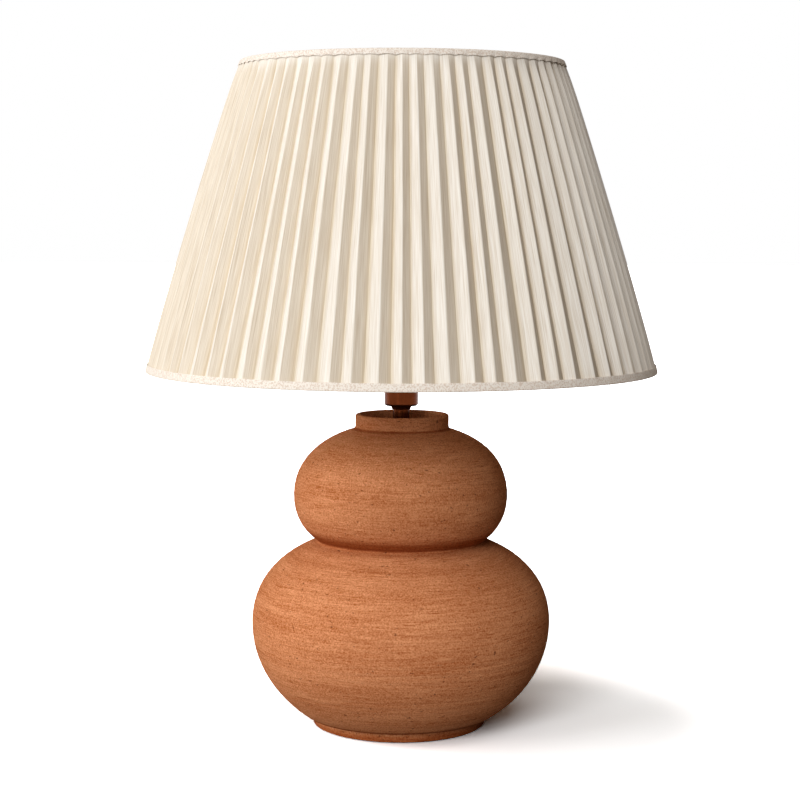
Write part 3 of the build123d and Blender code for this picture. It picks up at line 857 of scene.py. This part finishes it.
@dataclass
class GourdBody:
    """The thrown clay body: two lobes, a neck and a foot, hollow inside."""

    finishes: Finishes
    foot_r: float = 0.0865
    foot_z: float = 0.001
    foot_top_z: float = 0.011
    lower_r: float = 0.1495
    lower_z: float = 0.1044
    lower_rise: float = 0.0939
    lower_drop: float = 0.1196
    lower_shares: tuple[float, float] = (0.628, 0.563)
    upper_r: float = 0.10695
    upper_z: float = 0.2322
    upper_rise: float = 0.072
    upper_drop: float = 0.0642
    upper_shares: tuple[float, float] = (0.614, 0.651)
    neck_r: float = 0.0467
    neck_bore_r: float = 0.042
    neck_z: float = 0.313
    ledge_z: float = 0.2985
    ledge_r: float = 0.036
    wall: float = 0.008
    floor_z: float = 0.023
    pipe_hole_r: float = 0.0057
    recess_r: float = 0.075
    recess_z: float = 0.013
    foot_join_reach: float = 0.0014
    foot_top_reach: float = 0.0030
    foot_edge_reach: float = 0.0008
    waist_reach: float = 0.0034
    neck_join_reach: float = 0.0032
    lip_reach: float = 0.0022
    lip_inner_reach: float = 0.0012
    skin_step: float = 0.0016
    hollow_step: float = 0.007
    ring_height: float = 0.00012
    ring_pitch: float = 0.0078
    ring_fade: float = 0.01
    ring_margins: tuple[float, float] = (0.002, 0.004)
    swell_span: float = 0.03
    lean_heights: tuple[float, ...] = (0.0, 0.012, 0.03, 0.09, 0.13, 0.176, 0.2, 0.25, 0.28, 0.313)
    lean: tuple[float, ...] = (-0.0015, -0.0014, -0.0005, 0.0, 0.0003, 0.0003, -0.0005, -0.0004, 0.0006, 0.0009)
    columns: int = 384
    inlet_r: float = 0.0052
    inlet_reach: tuple[float, float] = (-0.02, 0.012)
    inlet_place: tuple[float, float, float] = (0.0, 0.129032, 0.042898)
    inlet_way: tuple[float, float, float] = (0.0, 0.807084, -0.590436)

    def lobe(self, inset: float, upper: bool, top: bool) -> Line:
        """One quarter of a lobe's section, drawn in by the given thickness.

        Args:
            inset: how far inside the clay's skin it runs.
            upper: whether it is the upper lobe's.
            top: whether it is the half above the widest ring.

        Returns:
            The line from the widest ring to the axis.
        """
        r = (self.upper_r if upper else self.lower_r) - inset
        z = self.upper_z if upper else self.lower_z
        rise, drop = (self.upper_rise, self.upper_drop) if upper else (self.lower_rise, self.lower_drop)
        shares = self.upper_shares if upper else self.lower_shares
        share = shares[0] if top else shares[1]
        reach = rise - inset if top else -(drop - inset)
        return bezier([(r, 0), (r, share * reach), (share * r, reach), (0, reach)]) + (0, z)

    def skin(self) -> Line:
        """The outside, from the foot's inner edge up to the neck's inner edge.

        Returns:
            The line of radii and heights.
        """
        foot = straight((self.recess_r, self.foot_z), (self.foot_r, self.foot_z), (self.foot_r, self.foot_top_z))
        ledge = straight((self.foot_r, self.foot_top_z), (self.lower_r, self.foot_top_z))
        line = meet(ledge, self.lobe(0, False, False)[::-1], self.foot_join_reach)
        line = np.concatenate([foot[:-1], line, self.lobe(0, False, True)[1:]])
        line = meet(line, self.lobe(0, True, False)[::-1], self.waist_reach)
        line = np.concatenate([line, self.lobe(0, True, True)[1:]])
        neck = straight((self.neck_r, self.upper_z), (self.neck_r, self.neck_z), (self.neck_bore_r, self.neck_z))
        line = meet(line, neck, self.neck_join_reach)
        line = np.concatenate([line, straight((self.neck_bore_r, self.ledge_z))])
        line = eased(line, (self.neck_bore_r, self.neck_z), self.lip_inner_reach)
        line = eased(line, (self.neck_r, self.neck_z), self.lip_reach)
        line = eased(line, (self.foot_r, self.foot_top_z), self.foot_top_reach)
        return eased(line, (self.foot_r, self.foot_z), self.foot_edge_reach)

    def hollow(self) -> Line:
        """The inside, from under the neck down to the foot's recess.

        Returns:
            The line of radii and heights.
        """
        shaft = straight((self.neck_bore_r, self.ledge_z), (self.ledge_r, self.ledge_z), (self.ledge_r, self.upper_z))
        line = meet(shaft, self.lobe(self.wall, True, True)[::-1])
        line = np.concatenate([line, self.lobe(self.wall, True, False)[1:]])
        line = meet(line, self.lobe(self.wall, False, True)[::-1])
        line = np.concatenate([line, self.lobe(self.wall, False, False)[1:]])
        line = meet(line, straight((self.lower_r, self.floor_z), (self.pipe_hole_r, self.floor_z)))
        end = straight((self.pipe_hole_r, self.recess_z), (self.recess_r, self.recess_z))
        return np.concatenate([line, end])

    def thrown(self) -> bpy.types.Mesh:
        """The turned clay with its throwing rings and its slight lean.

        Returns:
            The undrilled mesh.
        """
        skin = respaced(self.skin(), self.skin_step)
        hollow = respaced(self.hollow()[1:], self.hollow_step, math.radians(20))
        run = lengths(skin)
        grid = spun(np.concatenate([skin, hollow]), self.columns)
        rows = len(skin)
        turn = np.arange(self.columns)[None] / self.columns
        way = run[:, None] + 0 * turn
        swell = ripple(np.stack([way / self.swell_span, np.cos(2 * math.pi * turn) + 0 * way]), 4, (1.0, 0.4))
        rings = np.sin(2 * math.pi * (way / self.ring_pitch + turn)) * (0.55 + 0.45 * swell)
        foot_margin, lip_margin = self.ring_margins
        fade = np.clip((skin[:, 1] - self.foot_top_z - foot_margin) / self.ring_fade, 0, 1)
        fade = fade * np.clip((self.neck_z - lip_margin - skin[:, 1]) / self.ring_fade, 0, 1)
        push = self.ring_height * rings * fade[:, None]
        out = normals(skin)
        moved(grid[:rows], push * out[:, 0, None], 2 * math.pi * turn)
        grid[:rows, :, 2] += push * out[:, 1, None]
        grid[:rows, :, 0] += np.interp(skin[:, 1], self.lean_heights, self.lean)[:, None]
        return woven("gourd_clay", grid, Wrap.BOTH, 50)

    def bored(self, clay: bpy.types.Mesh) -> bpy.types.Mesh:
        """The clay with the cord inlet drilled square through its wall.

        Args:
            clay: the undrilled mesh.

        Returns:
            The drilled mesh.
        """
        inner, outer = self.inlet_reach
        side = straight((0, inner), (self.inlet_r, inner), (self.inlet_r, outer), (0, outer))
        drill = woven("inlet_drill", spun(side, 48), Wrap.COLUMNS)
        turn = Vector(self.inlet_way).to_track_quat("Z", "Y").to_matrix().to_4x4()
        drill.transform(Matrix.Translation(Vector(self.inlet_place)) @ turn)
        blank = bpy.data.objects.new("clay_blank", clay)
        cutter = bpy.data.objects.new("inlet_cutter", drill)
        for thing in (blank, cutter):
            bpy.context.scene.collection.objects.link(thing)
        cut = blank.modifiers.new("inlet", "BOOLEAN")
        cut.operation = "DIFFERENCE"
        cut.solver = "EXACT"
        cut.object = cutter
        bpy.context.view_layer.update()
        done = bpy.data.meshes.new_from_object(blank.evaluated_get(bpy.context.evaluated_depsgraph_get()))
        bpy.data.objects.remove(blank)
        bpy.data.objects.remove(cutter)
        return done

    def build(self) -> None:
        """Makes the body."""
        piece = Piece("gourd_clay", "base", "terracotta", ("gourd_body",))
        piece.hang(self.bored(self.thrown()), self.finishes.terracotta)


@dataclass
class FeltDisc:
    """The felt under the foot."""

    finishes: Finishes
    radius: float = 0.0835
    thickness: float = 0.001
    edge_reach: float = 0.0003
    fray: float = 0.00015
    columns: int = 192

    def build(self) -> None:
        """Makes the felt with its soft cut edge."""
        r, t = self.radius, self.thickness
        outline = straight((0, 0), (r * 0.5, 0), (r, 0), (r, t), (r * 0.5, t), (0, t))
        outline = eased(eased(outline, (r, 0), self.edge_reach), (r, t), self.edge_reach)
        grid = spun(respaced(outline, 0.006, math.radians(25)), self.columns)
        angle = angles(self.columns)
        fray = ripple(np.stack([np.cos(angle), np.sin(angle)]), 21, (14.0, 14.0)) * self.fray
        moved(grid, (np.hypot(grid[..., 0], grid[..., 1]) > r * 0.97) * fray, angle)
        piece = Piece("felt_disc", "base", "felt", ("base_felt",))
        felt = piece.weave(grid, self.finishes.felt, Wrap.COLUMNS)
        2 * r
        2 * r
        math.pi * r * r


@dataclass
class PleatedShade:
    """The shade's cloth: pleats, lining and the two binding tapes."""

    finishes: Finishes
    foot_r: float = 0.254
    top_r: float = 0.1608
    foot_z: float = 0.3569
    top_z: float = 0.6605
    tape_thickness: float = 0.0009
    gap: float = 0.0001
    pleats: int = 72
    fold_share: float = 0.0235
    cloth_share: float = 0.0022
    ridge_reach: float = 0.0042
    valley_reach: float = 0.00231
    bow: float = 0.0002
    sway: float = 0.0011
    puff: float = 0.0006
    bulge: float = 0.0026
    nip: float = 0.0014
    leg_thickness: float = 0.0005
    width_spread: float = 0.15
    depth_spread: float = 0.09
    lean_spread: float = 0.05
    proud_spread: float = 0.0016
    top_loss: float = 0.55
    seed: int = 11
    rows: int = 44
    foot_tape_height: float = 0.0076
    top_tape_height: float = 0.0052
    tape_step: float = 0.0011
    tape_turn_in: float = 0.0010
    tape_turn_over: float = 0.0009
    tape_leg_depth: float = 0.0035
    tape_waver: tuple[float, float] = (0.00008, 0.00018)
    foot_ring_r: float = 0.24083
    foot_ring_z: float = 0.3599
    top_ring_r: float = 0.15254
    top_ring_z: float = 0.6575
    wire_r: float = 0.002
    liner_thickness: float = 0.0006
    liner_rows: int = 26
    liner_columns: int = 360
    liner_clear: float = 0.0035
    liner_pull: float = 0.0007
    ribs: int = 6
    droops: tuple[float, float] = (0.0002, 0.0010)
    pinches: tuple[float, float] = (0.0003, 0.0008)
    corners: np.ndarray = field(init=False)
    depths: np.ndarray = field(init=False)

    def __post_init__(self) -> None:
        """Lays out the folds round the shade, each a little different."""
        rng = np.random.default_rng(self.seed)
        widths = 1 + rng.uniform(-1, 1, self.pleats) * self.width_spread
        lean = rng.uniform(-self.lean_spread, self.lean_spread, self.pleats)
        starts = np.concatenate([[0.0], np.cumsum(widths / widths.sum())]) * 2 * math.pi
        ridge = starts[:-1]
        valley = ridge + np.diff(starts) * (0.5 + lean)
        self.corners = np.stack([ridge, valley], axis=1).reshape(-1)
        deep = 1 - rng.uniform(0, 2, self.pleats) * self.depth_spread
        proud = 1 - rng.uniform(0, 1, self.pleats) * self.proud_spread
        self.depths = np.stack([proud, 1 - self.fold_share * deep], axis=1).reshape(-1)

    def side_r(self, z: float) -> float:
        """The shade's outer radius at height z, over the tapes."""
        return self.foot_r - (self.foot_r - self.top_r) * (z - self.foot_z) / (self.top_z - self.foot_z)

    def ridge_r(self, z: float) -> float:
        """The radius of the pleats' ridges at height z, were they straight."""
        return self.side_r(z) - self.tape_thickness - self.gap

    def swell(self, z: np.ndarray) -> np.ndarray:
        """How far the ridges puff out between the tapes and are nipped in at the top.

        Args:
            z: the heights.

        Returns:
            The swelling at each height.
        """
        rise = np.clip((z - self.foot_z) / (self.top_z - self.foot_z), 0, 1)
        out = self.bulge * np.sin(math.pi * rise**0.85) ** 0.65
        return out - self.nip * np.clip((rise - 0.8) / 0.2, 0, 1) ** 3

    def folds(self) -> tuple[np.ndarray, np.ndarray, np.ndarray]:
        """One turn of folds at unit radius.

        Returns:
            The angles, the radii, and how far each point lies from a ridge towards a valley.
        """
        count = len(self.corners)
        place = np.stack([self.depths * np.sin(self.corners), -self.depths * np.cos(self.corners)], axis=1)
        points, phases = [], []
        for i in range(count):
            corner = place[i]
            nearby = (place[i - 1], place[(i + 1) % count])
            reach, next_reach = (self.ridge_reach, self.valley_reach)[:: -1 if i % 2 else 1]
            before, after = (corner + (p - corner) / np.linalg.norm(p - corner) * reach for p in nearby)
            for t in (0, 0.3, 0.5, 0.7, 1):
                points.append((1 - t) ** 2 * before + 2 * (1 - t) * t * corner + t**2 * after)
                phases.append(float(i % 2))
            step = (nearby[1] - corner) / np.linalg.norm(nearby[1] - corner)
            end = nearby[1] - step * next_reach
            bow = np.array([step[1], -step[0]]) * self.bow
            for t in (0.06, 0.5, 0.94):
                points.append(after + (end - after) * t + bow)
                phases.append(t if i % 2 == 0 else 1 - t)
        right_side_shade = np.array(points)
        angle = np.unwrap(np.arctan2(right_side_shade[:, 0], -right_side_shade[:, 1]))
        return angle, np.hypot(right_side_shade[:, 0], right_side_shade[:, 1]), np.array(phases)

    def edges(self) -> tuple[float, float]:
        """The heights of the cloth's lower and upper edge, inside the tapes."""
        inset = self.tape_thickness + self.gap
        return self.foot_z + inset, self.top_z - inset

    def cloth(self) -> None:
        """Makes the pleated cloth between the tapes."""
        angle, radius, phase = self.folds()
        flat = np.stack([radius * np.sin(angle), -radius * np.cos(angle)], axis=1)
        inward = -normals(flat, True)
        inward *= np.sign((inward * flat).sum(1).mean()) * -1
        low, high = self.edges()
        t = np.linspace(0, 1, self.rows)
        z = low + (high - low) * t
        size = np.array([self.ridge_r(height) for height in z])[:, None]
        way = np.stack(np.broadcast_arrays(t[:, None] * 1.6, 3 * np.cos(angle), 3 * np.sin(angle)))
        middle = np.sin(math.pi * t)[:, None]
        sway = ripple(way, 31, (1.0, 3.0, 3.0)) * self.sway * middle
        puff = 1 + ripple(way, 37, (1.3, 2.0, 2.0)) * self.puff * middle
        swell = self.swell(z)[:, None] * (1 - phase)
        shallow = self.top_loss * self.fold_share * np.clip((t - 0.93) / 0.07, 0, 1)[:, None] ** 2 * phase
        sheets = []
        for side in (0.0, self.cloth_share):
            line = flat + inward * side
            a = np.arctan2(line[:, 0], -line[:, 1])[None] + sway
            r = (np.hypot(line[:, 0], line[:, 1])[None] + shallow) * size * puff + swell
            sheets.append(np.stack([r * np.sin(a), -r * np.cos(a), z[:, None] + 0 * a], axis=2))
        grid = np.concatenate([sheets[0], sheets[1][::-1]])
        piece = Piece("pleated_cloth", "shade", "linen", ("pleated_cover",))
        cloth = piece.weave(grid, self.finishes.linen, crease=80)
        slant = math.hypot(high - low, self.ridge_r(low) - self.ridge_r(high))
        once = np.linalg.norm(np.roll(flat, -1, axis=0) - flat, axis=1).sum()
        width, top = once * self.ridge_r(low), once * self.ridge_r(high)
        (width + top) / 2 * slant

    def liner(self) -> None:
        """Makes the lining that is stretched over the frame behind the pleats."""
        low, high = self.edges()
        share = 1 - self.fold_share - self.liner_clear
        t = np.linspace(0, 1, self.liner_rows)
        z = low + (high - low) * t
        r = np.array([self.ridge_r(height) for height in z]) * share - self.gap - self.liner_thickness / 2
        outline = ribbon(np.stack([r, z], axis=1), self.liner_thickness)
        grid = spun(outline, self.liner_columns)
        angle = angles(self.liner_columns)
        rise = (outline[:, 1, None] - low) / (high - low)
        pull = np.sin(math.pi * np.clip(rise, 0, 1)) * (np.cos(self.ribs * angle) - 1) * 0.5 * self.liner_pull
        moved(grid, pull, angle)
        piece = Piece("liner_sheet", "shade", "liner", ("shade_liner",))
        cloth = piece.weave(grid, self.finishes.lining, crease=60)
        slant = math.hypot(high - low, r[0] - r[-1])
        lean = (r[0] - r[-1]) / slant
        outer, inner, half = r[0] / lean, r[-1] / lean, math.pi * lean
        2 * outer * math.sin(half)
        outer - inner * math.cos(half)
        half * (outer**2 - inner**2)

    def tape_path(self, z: float, height: float, ring_r: float, ring_z: float) -> Line:
        """The middle line of a tape turned over the cloth's edge and the wire.

        Args:
            z: the shade's edge.
            height: how far the outer leg runs from it, less than nothing for downwards.
            ring_r: the wire ring's radius.
            ring_z: the wire ring's height.

        Returns:
            The line from the outer leg's edge round to the inner leg's edge.
        """
        half = self.leg_thickness / 2
        way = math.copysign(1, height)
        inner = ring_r - self.wire_r - self.gap - half
        rise = z + height * np.linspace(1, 0, 9)
        leg = np.stack([self.side_r(rise) - self.tape_thickness + self.swell(rise) + half, rise], axis=1)
        leg[-1, 1] += way * half
        turn_in = (inner, z + way * half)
        path = np.concatenate([leg, straight(turn_in, (inner, ring_z))])
        path = eased(path, turn_in, self.tape_turn_in)
        return respaced(eased(path, leg[-1], self.tape_turn_over), self.tape_step, math.radians(12))

    def tapes(self) -> None:
        """Makes the lower and the upper tape, the upper one drawn in more between the ridges."""
        angle, _, phase = self.folds()
        ends = (
            ("foot_tape", "bottom_binding", self.foot_z, self.foot_tape_height, self.foot_ring_r, self.foot_ring_z),
            ("top_tape", "top_binding", self.top_z, -self.top_tape_height, self.top_ring_r, self.top_ring_z),
        )
        for name, node, z, height, ring_r, ring_z in ends:
            path = self.tape_path(z, height, ring_r, ring_z)
            outline = ribbon(path, self.leg_thickness)
            on_leg = outline[:, 0] > path[0, 0] - self.tape_leg_depth
            off = np.where(on_leg, np.clip((outline[:, 1] - z) / height, 0, 1), 0.0)[:, None]
            dip = phase[None] ** 2 * off**2
            droop, pinch = self.droops[height < 0], self.pinches[height < 0]
            wave = ripple(np.stack([4 * np.cos(angle), 4 * np.sin(angle)]), 41, (3.0, 3.0))[None]
            r = outline[:, 0, None] - pinch * dip + wave * self.tape_waver[0] * off
            tall = outline[:, 1, None] - droop * dip + wave * self.tape_waver[1] * off
            grid = np.stack([r * np.sin(angle), -r * np.cos(angle), tall + 0 * angle], axis=2)
            tape = Piece(name, "shade", "tape", (node,)).weave(grid, self.finishes.tape, crease=70)
            width = lengths(path)[-1]
            length = 2 * math.pi * self.side_r(z)
            middle = 2 * math.pi * float(path[:, 0].mean())
            width * min(middle, length)

    def build(self) -> None:
        """Makes all the cloth of the shade."""
        self.cloth()
        self.liner()
        self.tapes()


@dataclass
class Threads:
    """The screw threads of the socket, the bulb and the ring sleeve."""

    finishes: Finishes
    pitch: float = 0.003629
    shell_bore_r: float = 0.0133
    shell_wall: float = 0.0005
    sleeve_r: float = 0.0192
    sleeve_pitch: float = 0.0022
    sleeve_wall: float = 0.0008
    bulb_depth: float = 0.00075
    shell_depth: float = 0.0004
    sleeve_depth: float = 0.00022
    run_out: float = 0.002
    step: float = 0.0003
    sleeve_step: float = 0.00025
    columns: int = 96

    def helix(self, outline: Line, depth: np.ndarray, pitch: float) -> Grid:
        """Winds a thread into a turned outline.

        Args:
            outline: the outline of radii and heights.
            depth: how deep the thread is at each of its points.
            pitch: the thread's climb in one turn.

        Returns:
            The grid of points.
        """
        grid = spun(outline, self.columns)
        angle = angles(self.columns)
        wave = 0.5 - 0.5 * np.cos(2 * math.pi * outline[:, 1, None] / pitch - angle)
        moved(grid, -depth[:, None] * wave, angle)
        return grid

    def between(self, z: np.ndarray, low: float, high: float) -> np.ndarray:
        """A thread's share of its depth at heights z, which runs out towards low and high."""
        return np.clip((z - low) / self.run_out, 0, 1) * np.clip((high - z) / self.run_out, 0, 1)

    def bulb_cap(self) -> None:
        """Makes the bulb's rolled screw cap."""
        low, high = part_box("bulb_screw_cap")
        r = high.x
        corner = straight((0, low.z), (r - 0.0022, low.z), (r - 0.0004, low.z + 0.0022))
        side = straight((r, low.z + 0.003), (r, high.z - 0.001), (r - 0.0006, high.z), (0, high.z))
        outline = respaced(np.concatenate([corner, side]), self.step)
        depth = self.between(outline[:, 1], low.z + 0.001, high.z - 0.002) * self.bulb_depth
        grid = self.helix(outline, depth * (outline[:, 0] > r - 0.002), self.pitch)
        piece = Piece("bulb_cap_rolled", "bulb", "bulb_metal", ("bulb_screw_cap",))
        piece.weave(grid, self.finishes.nickel, Wrap.COLUMNS, 50)

    def shell(self) -> None:
        """Makes the socket's rolled screw shell."""
        low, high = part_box("screw_shell")
        r = self.shell_bore_r + self.shell_wall / 2
        path = respaced(straight((r, low.z + 0.0003), (r, high.z - 0.0003)), self.step)
        outline = ribbon(path, self.shell_wall)
        depth = self.between(outline[:, 1], low.z, high.z) * self.shell_depth
        piece = Piece("screw_shell_rolled", "base", "brass", ("screw_shell",))
        piece.weave(self.helix(outline, depth, self.pitch), self.finishes.brass, crease=60)

    def sleeve(self) -> None:
        """Makes the thread on the sleeve that carries the shade's rings."""
        low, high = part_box("thread_sleeve")
        r, inner = self.sleeve_r, self.sleeve_r - self.sleeve_wall
        ends = (inner, low.z + 0.0009), (r, low.z + 0.001), (r, high.z - 0.001), (inner, high.z - 0.0009)
        outline = respaced(straight(*ends), self.sleeve_step)
        depth = -self.sleeve_depth * (outline[:, 0] > r - 0.0002)
        outline = np.concatenate([outline, outline[::-1] - (self.sleeve_wall, 0)])
        grid = self.helix(outline, np.concatenate([depth, 0 * depth]), self.sleeve_pitch)
        Piece("sleeve_thread", "base", "phenolic").weave(grid, self.finishes.phenolic, crease=60)

    def build(self) -> None:
        """Makes all the threads."""
        self.bulb_cap()
        self.shell()
        self.sleeve()


@dataclass
class Hardware:
    """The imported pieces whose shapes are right, with their finishes."""

    finishes: Finishes
    nodes: Mapping[str, bpy.types.Object]

    def dress(self, material: bpy.types.Material, *names: str) -> None:
        """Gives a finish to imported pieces.

        Args:
            material: the finish.
            names: the pieces' names.
        """
        for name in names:
            node = self.nodes[name]
            if not node.material_slots:
                node.data.materials.append(material)
            for slot in node.material_slots:
                slot.material = material
            log.info("%s: %s", name, material.name)

    def build(self) -> None:
        """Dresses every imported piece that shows."""
        use = self.finishes
        self.dress(use.bronze, "stem_tube", "stem_collar", "socket_cap", "socket_shell", "neck_plate")
        self.dress(use.bronze, "neck_washer", "support_ring", "clamp_ring")
        self.dress(use.steel, "bottom_plate", "lock_washer", "pipe_nut", "lamp_pipe", "set_screw", "terminal_screws")
        self.dress(use.brass, "centre_contact", "switch_shaft")
        self.dress(use.rubber, "cord_grommet")
        self.dress(use.fibre, "socket_insulator")
        self.dress(use.phenolic, "socket_core", "thread_sleeve", "switch_knob", "bulb_insulator")
        self.dress(use.nickel, "bulb_tip")
        self.dress(use.plastic, "bulb_housing")
        self.dress(use.frosted, "bulb_diffuser")
        self.dress(use.wire, "fitter_ring", "fitter_arms", "bottom_ring", "top_ring", "frame_ribs")


# Studio


@dataclass(frozen=True)
class Sun:
    """A soft distant light: its name and level, where it stands in degrees, and how wide it is."""

    name: str
    level: float
    azimuth: float
    height: float
    spread: float

    def hang(self) -> None:
        """Hangs the light."""
        lamp = bpy.data.lights.new(self.name, "SUN")
        lamp.energy = self.level * math.pi
        lamp.angle = math.radians(self.spread)
        thing = bpy.data.objects.new(self.name, lamp)
        turn, rise = math.radians(self.azimuth), math.radians(self.height)
        way = Vector((math.sin(turn) * math.cos(rise), -math.cos(turn) * math.cos(rise), math.sin(rise)))
        thing.matrix_world = Matrix.Translation(way * 3) @ way.to_track_quat("Z", "Y").to_matrix().to_4x4()
        bpy.context.scene.collection.objects.link(thing)


@dataclass
class Studio:
    """The camera at the photograph's angle, the pale floor, five soft lights and a fill."""

    camera_place: tuple[float, float, float] = (-0.0013, -1.9132, 0.506)
    tilt: float = math.radians(5.351)
    roll: float = math.radians(0.17)
    lens: float = 86.56
    suns: tuple[Sun, ...] = (
        Sun("side", 0.31, -68, 26, 40),
        Sun("front", 0.53, -18, 21, 32),
        Sun("edge", 0.56, -106, 4, 30),
        Sun("high", 0.21, 6, 58, 40),
        Sun("low", 0.10, -24, 3, 12),
    )
    fill_level: float = 0.065
    fill_tint: Colour = tone(1.0, 0.62, 0.36)
    floor_seen: Colour = tone(1.84, 1.90, 1.94)
    floor_far: Colour = tone(4.4, 4.5, 4.6)
    floor_colour: Colour = tone(0.22, 0.20, 0.18)
    floor_half: float = 20.0
    shadow_x: float = 0.13
    shadow_fade: tuple[float, float] = (0.13, 0.33)

    def camera(self) -> None:
        """Sets the camera."""
        lens = bpy.data.cameras.new("camera")
        lens.lens = self.lens
        lens.sensor_width = 36.0
        lens.clip_end = 100.0
        eye = bpy.data.objects.new("camera", lens)
        turn = Matrix.Rotation(math.pi / 2 - self.tilt, 4, "X") @ Matrix.Rotation(self.roll, 4, "Z")
        eye.matrix_world = Matrix.Translation(Vector(self.camera_place)) @ turn
        bpy.context.scene.collection.objects.link(eye)
        bpy.context.scene.camera = eye

    def seen(self, board: Board) -> Wire:
        """Whether a ray comes from the camera, from a gloss or through glass.

        Args:
            board: the board that asks.

        Returns:
            1 where it does and 0 elsewhere.
        """
        names = ("Is Camera Ray", "Is Glossy Ray", "Is Transmission Ray")
        camera, gloss, glass = (board.add("ShaderNodeLightPath", {}, {}, name) for name in names)
        return (camera + gloss + glass).held()

    def floor(self) -> None:
        """Lays the pale floor, which shows white and keeps the lamp's shadow near the foot; further out its seen
        colour grows brighter, painted light that fades the shadow.
        """
        board = Board("floor")
        plain = board.add("ShaderNodeBsdfDiffuse", {}, {"Color": self.floor_colour})
        at = board.spot()
        # Painted light: the floor's seen colour brightens away from a point right of the foot, fading the lamp's cast
        # shadow there.
        x = at.x - self.shadow_x
        shadow_lift = (x * x + at.y * at.y).root().rise(*self.shadow_fade)
        shown = board.add("ShaderNodeBsdfDiffuse", {}, {"Color": board.blend(shadow_lift, self.floor_seen, self.floor_far)})
        surface = board.add("ShaderNodeMixShader", {}, {0: self.seen(board), 1: plain, 2: shown})
        board.add("ShaderNodeOutputMaterial", {}, {"Surface": surface})
        half = self.floor_half
        mesh = bpy.data.meshes.new("floor")
        mesh.from_pydata([(-half, -half, 0), (half, -half, 0), (half, half, 0), (-half, half, 0)], [], [(0, 1, 2, 3)])
        mesh.materials.append(board.owner)
        ground = bpy.data.objects.new("floor", mesh)
        bpy.context.scene.collection.objects.link(ground)

    def light(self) -> None:
        """Sets the soft lights and the even fill."""
        for sun in self.suns:
            sun.hang()
        board = Board("studio", sky=True)
        bpy.context.scene.world = board.owner
        fill = board.add("ShaderNodeBackground", {}, {"Color": self.fill_tint, "Strength": self.fill_level})
        white = board.add("ShaderNodeBackground", {}, {"Color": tone(1, 1, 1), "Strength": 1.0})
        surface = board.add("ShaderNodeMixShader", {}, {0: self.seen(board), 1: fill, 2: white})
        board.add("ShaderNodeOutputWorld", {}, {"Surface": surface})

    def build(self) -> None:
        """Sets up the whole studio."""
        bpy.context.scene.view_settings.view_transform = "Standard"
        self.camera()
        self.floor()
        self.light()


def main() -> None:
    """Builds the lamp and its studio."""
    logging.basicConfig(level=logging.INFO, format="%(name)s %(message)s")
    Studio().build()
    finishes = Finishes()
    Hardware(finishes, frame["nodes"]).build()
    for part in (GourdBody, FeltDisc, PleatedShade, Threads):
        part(finishes).build()
    bpy.context.view_layer.update()


if __name__ == "__main__":
    main()
